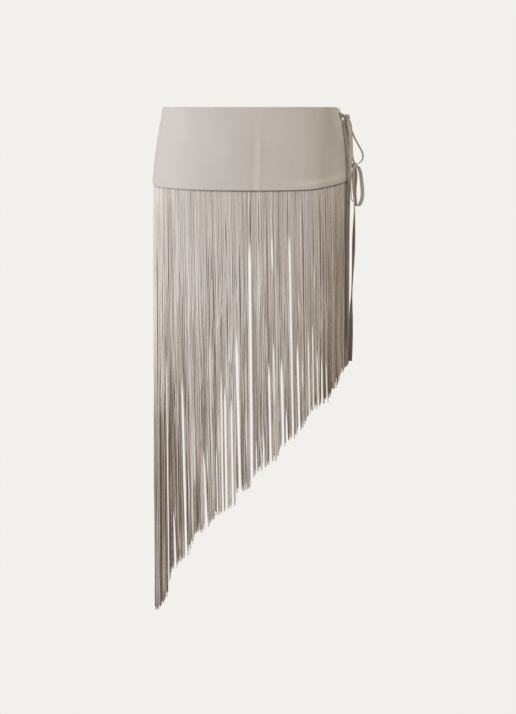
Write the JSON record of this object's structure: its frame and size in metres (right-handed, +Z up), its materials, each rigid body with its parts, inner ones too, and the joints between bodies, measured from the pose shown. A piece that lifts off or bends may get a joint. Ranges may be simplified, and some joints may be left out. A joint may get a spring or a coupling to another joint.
{
  "type": "fringe belt",
  "caption": "Contoured hip band tied with two ribbon bows at the wearer's left side, with a long diagonal cord fringe hanging all round.",
  "frame": {"origin": "middle of the waist opening, level with the band's top edge at its side points, where the wearer's waist holds the belt", "axes": "+Z up along the wearer, towards the waist; the wearer faces -Y, and +X is the wearer's left side, where the belt is tied"},
  "size_m": [0.3668, 0.2326, 0.8725],
  "materials": {
    "crepe": "matt crepe",
    "fringe": "silky cord",
    "ribbon": "silky ribbon"
  },
  "bodies": {
    "root": {"yoke_front": "crepe", "yoke_back": "crepe", "fringe_front": "fringe", "fringe_back": "fringe", "tie_upper_bow": "ribbon", "tie_lower_bow": "ribbon", "tie_upper_tail_front": "ribbon", "tie_upper_tail_back": "ribbon", "tie_lower_tail_front": "ribbon", "tie_lower_tail_back": "ribbon"}
  },
  "joints": []
}
